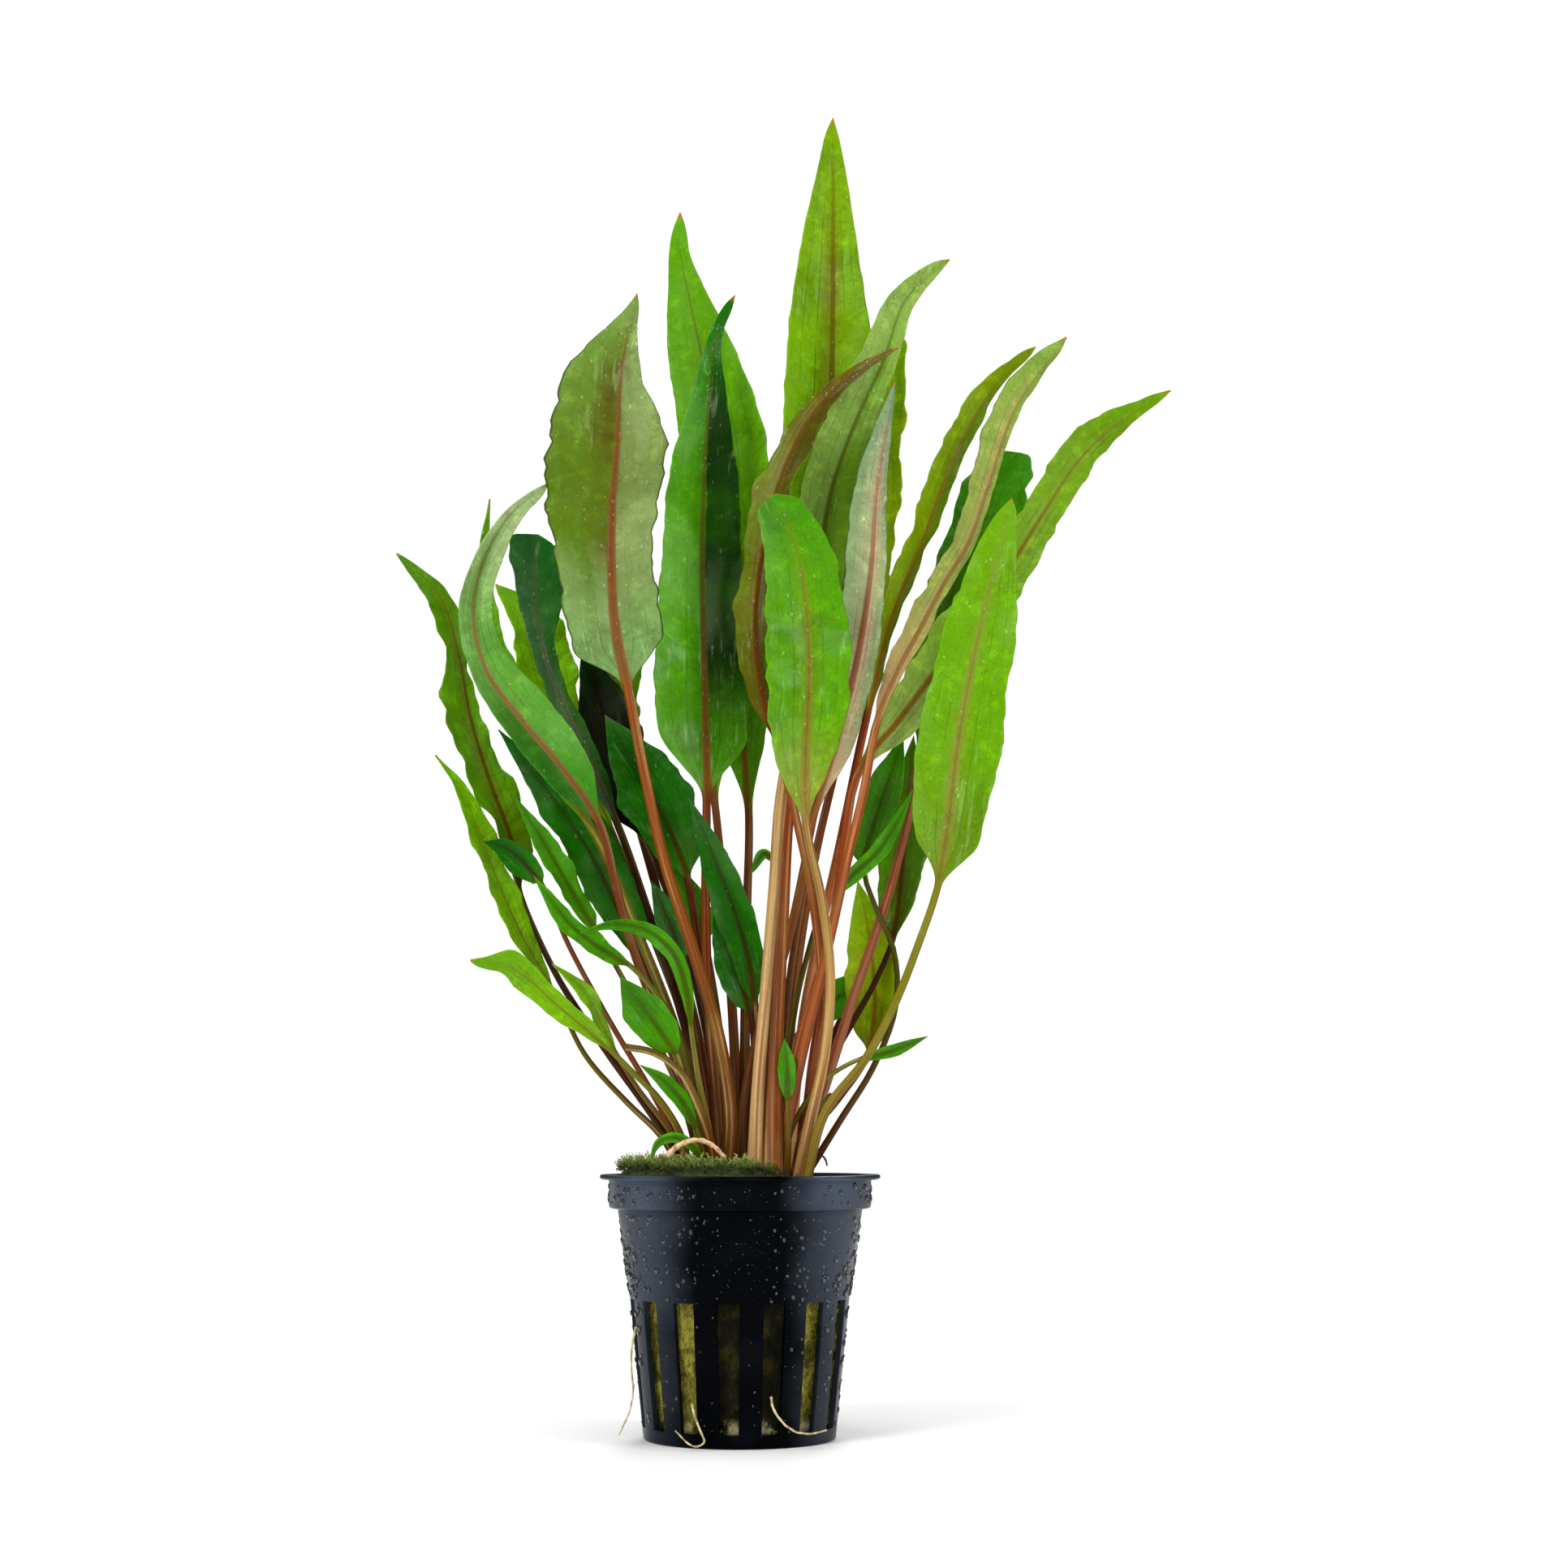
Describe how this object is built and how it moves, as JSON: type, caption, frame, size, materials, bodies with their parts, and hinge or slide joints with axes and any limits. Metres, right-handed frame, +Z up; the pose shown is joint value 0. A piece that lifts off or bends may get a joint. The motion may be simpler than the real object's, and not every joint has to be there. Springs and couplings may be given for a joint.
{
  "type": "potted water plant",
  "caption": "Aquarium plant with long-stalked lance-shaped leaves, growing from mineral wool in a slotted round net pot.",
  "frame": {"origin": "centre of the pot's flat underside", "axes": "+Z up along the pot's axis; the side seen in the picture faces -Y, and its right is +X"},
  "size_m": [0.1604, 0.1016, 0.2737],
  "materials": {
    "pot_plastic": "smooth blue-black plastic, wetted with fine drops",
    "rock_wool": "olive-yellow matted mineral fibre",
    "rootstock": "rough brown root tissue",
    "moss": "short dark green moss",
    "root": "pale thin root",
    "runner": "smooth pinkish runner",
    "stalk": "rust-brown ribbed stalk",
    "bright_leaf": "bright green leaf with a brown midrib, satin and wet",
    "dark_leaf": "dark green leaf with a brown midrib, satin and wet",
    "olive_leaf": "olive leaf with a rust midrib, satin",
    "turned_leaf": "leaf whose paler pink-tinged underside faces forward"
  },
  "bodies": {
    "root": {"pot": "pot_plastic", "rock_wool": "rock_wool", "rootstock": "rootstock", "moss_mat": "moss", "slot_root_left": "root", "slot_root_loop": "root", "slot_root_middle": "root", "slot_root_back": "root", "runner": "runner", "tall_back_leaf": "bright_leaf", "second_tall_leaf": "bright_leaf", "centre_dark_leaf": "dark_leaf", "left_broad_leaf": "turned_leaf", "left_arching_leaf": "bright_leaf", "left_twin_leaf": "bright_leaf", "far_left_olive_leaf": "olive_leaf", "thin_lime_leaf": "bright_leaf", "low_lime_leaf": "bright_leaf", "thin_wavy_leaf": "bright_leaf", "small_dark_leaf": "dark_leaf", "narrow_wavy_leaf": "dark_leaf", "light_wavy_leaf": "bright_leaf", "dark_folded_leaf": "dark_leaf", "hidden_lime_leaf": "bright_leaf", "large_dark_leaf": "dark_leaf", "centre_left_leaf": "dark_leaf", "black_green_leaf": "dark_leaf", "front_dark_leaf": "dark_leaf", "inner_bright_leaf": "bright_leaf", "inner_dark_leaf": "dark_leaf", "slim_dark_leaf": "dark_leaf", "bent_leaf": "dark_leaf", "small_round_leaf": "bright_leaf", "small_narrow_leaf": "dark_leaf", "rim_leaf": "dark_leaf", "front_bright_leaf": "bright_leaf", "brown_twisted_leaf": "olive_leaf", "pale_grey_leaf": "turned_leaf", "yellow_back_leaf": "bright_leaf", "pink_under_leaf": "turned_leaf", "olive_ribbon_leaf": "olive_leaf", "tan_wavy_leaf": "turned_leaf", "deep_right_leaf": "dark_leaf", "far_right_leaf": "bright_leaf", "right_lime_leaf": "bright_leaf", "right_olive_leaf": "olive_leaf", "bowed_stalk_leaf": "dark_leaf", "orange_tip_leaf": "bright_leaf", "low_bright_leaf": "bright_leaf", "thin_right_leaf": "dark_leaf", "slim_right_leaf": "dark_leaf", "curl_leaf": "dark_leaf", "tiny_inner_leaf": "dark_leaf", "back_leaf_centre": "dark_leaf", "back_leaf_left": "dark_leaf", "back_leaf_right": "dark_leaf", "back_leaf_far_right": "dark_leaf", "cut_stalk_left": "stalk", "cut_stalk_right": "stalk"}
  },
  "joints": []
}
